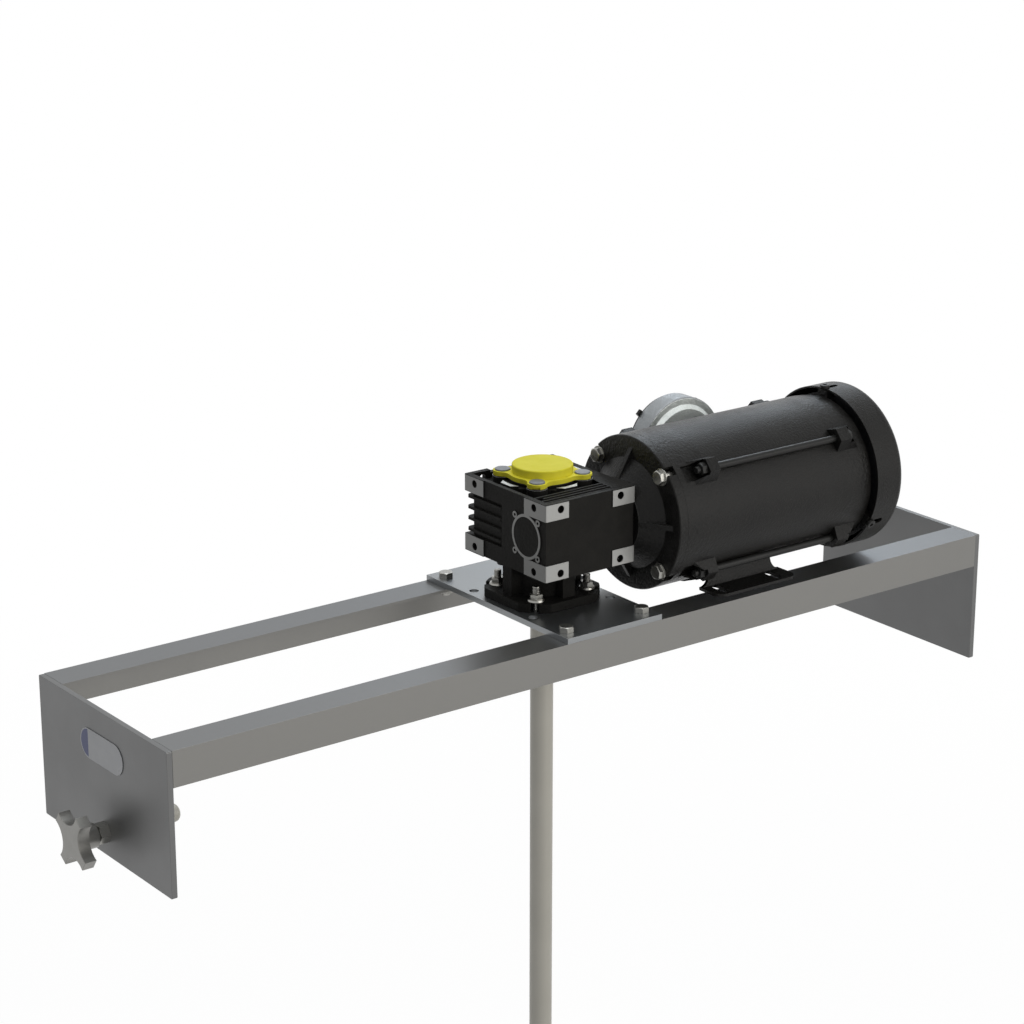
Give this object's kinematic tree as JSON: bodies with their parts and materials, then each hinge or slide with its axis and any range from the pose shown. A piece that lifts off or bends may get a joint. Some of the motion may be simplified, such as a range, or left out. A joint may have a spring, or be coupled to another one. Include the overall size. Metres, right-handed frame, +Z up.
{
  "type": "tote mixer",
  "caption": "Motor and worm gearbox on a steel beam that spans a liquid tote; a long shaft with folding blades hangs below, and a screw clamps the beam.",
  "frame": {"origin": "where the mixing shaft's axis meets the plane of the rails' lower edges, which rest on the tote's rim", "axes": "+X along the rails from the clamped end to the plain end, +Y from the near rail to the far one, +Z up along the shaft"},
  "size_m": [1.1256, 0.2696, 1.197],
  "materials": {
    "beam_steel": "satin stainless with fine grain",
    "fastener_steel": "bright stainless",
    "zinc_steel": "zinc plated",
    "black_casting": "satin black paint on a cast surface",
    "black_sheet": "satin black paint on sheet steel",
    "cap_yellow": "semi-matt",
    "cap_grey": "semi-matt",
    "label_metal": "satin, blank",
    "silver_casting": "as cast",
    "machined_face": "machined",
    "pad_plastic": "ivory, matt",
    "shaft_steel": "ground stainless",
    "bearing_steel": "polished",
    "alloy_steel": "turned steel",
    "wheel_bronze": "machined bronze",
    "seal_rubber": "matt",
    "lamination_steel": "laminated, varnished",
    "winding_copper": "varnished copper wire",
    "fan_plastic": "matt"
  },
  "bodies": {
    "frame": {"near_rail": "beam_steel", "far_rail": "beam_steel", "clamp_end_plate": "beam_steel", "plain_end_plate": "beam_steel", "mounting_plate": "beam_steel", "plate_bolts": "fastener_steel", "plate_nuts": "fastener_steel", "clamp_nut": "fastener_steel", "flange_bolts": "fastener_steel", "flange_nuts": "fastener_steel", "adapter_bolts": "fastener_steel", "tie_rods": "zinc_steel", "tie_rod_nuts": "zinc_steel", "fan_cover_screws": "zinc_steel", "adapter_screws": "zinc_steel", "conduit_cover_screws": "zinc_steel", "collar_screws": "zinc_steel", "gear_housing": "black_casting", "output_flange": "black_casting", "c_face_adapter": "black_casting", "drive_end_bell": "black_casting", "rear_end_bell": "black_casting", "worm_end_plug": "black_casting", "oil_plug": "black_casting", "stator_shell": "black_sheet", "fan_cover": "black_sheet", "motor_base": "black_sheet", "conduit_cover": "black_sheet", "shaft_cap": "cap_yellow", "cap_screws": "cap_grey", "label_plate": "label_metal", "conduit_box": "silver_casting", "conduit_plug": "silver_casting", "cover_gasket": "machined_face", "gearbox_bearings": "bearing_steel", "motor_bearings": "bearing_steel", "oil_seals": "seal_rubber", "stator_core": "lamination_steel", "stator_windings": "winding_copper"},
    "mixer": {"hollow_shaft": "alloy_steel", "worm_wheel": "wheel_bronze", "mixing_shaft": "shaft_steel", "shaft_key": "alloy_steel", "shaft_retainer": "alloy_steel", "retainer_bolt": "zinc_steel", "impeller_hub": "shaft_steel", "hub_set_screws": "shaft_steel", "hinge_pins": "shaft_steel"},
    "rotor": {"worm_shaft": "alloy_steel", "motor_shaft": "alloy_steel", "motor_key": "alloy_steel", "rotor_core": "lamination_steel", "cooling_fan": "fan_plastic"},
    "clamp_foot": {"clamp_pad": "pad_plastic"},
    "clamp_screw": {"clamp_knob": "fastener_steel", "knob_set_screw": "zinc_steel", "clamp_spindle": "fastener_steel"},
    "blade_body_1": {"blade_1": "shaft_steel"},
    "blade_body_2": {"blade_2": "shaft_steel"},
    "blade_body_3": {"blade_3": "shaft_steel"}
  },
  "joints": [
    {"name": "mixer_spin", "type": "hinge", "parent": "frame", "child": "mixer", "pos_m": [0, 0, 0.13495], "axis": [0, 0, 1], "continuous": true},
    {"name": "motor_spin", "type": "hinge", "parent": "frame", "child": "rotor", "pos_m": [0, -0.05, 0.13495], "axis": [1, 0, 0], "continuous": true},
    {"name": "clamp_slide", "type": "slide", "parent": "frame", "child": "clamp_foot", "axis": [1, 0, 0], "range_m": [-0.06, 0.002]},
    {"name": "knob_turn", "type": "hinge", "parent": "clamp_foot", "child": "clamp_screw", "pos_m": [-0.5, 0, -0.0889], "axis": [1, 0, 0], "range_deg": [-11060, 370]},
    {"name": "blade_1_fold", "type": "hinge", "parent": "mixer", "child": "blade_body_1", "pos_m": [0.036, 0, -0.8198], "axis": [0, -1, 0], "range_deg": [0, 80]},
    {"name": "blade_2_fold", "type": "hinge", "parent": "mixer", "child": "blade_body_2", "pos_m": [-0.018, 0.03118, -0.8198], "axis": [0.866, 0.5, 0], "range_deg": [0, 80]},
    {"name": "blade_3_fold", "type": "hinge", "parent": "mixer", "child": "blade_body_3", "pos_m": [-0.018, -0.03118, -0.8198], "axis": [-0.866, 0.5, 0], "range_deg": [0, 80]}
  ],
  "couplings": [
    {"joint": "motor_spin", "follows": "mixer_spin", "ratio": -5},
    {"joint": "knob_turn", "follows": "clamp_slide", "rad_per_m": 3215.6}
  ]
}
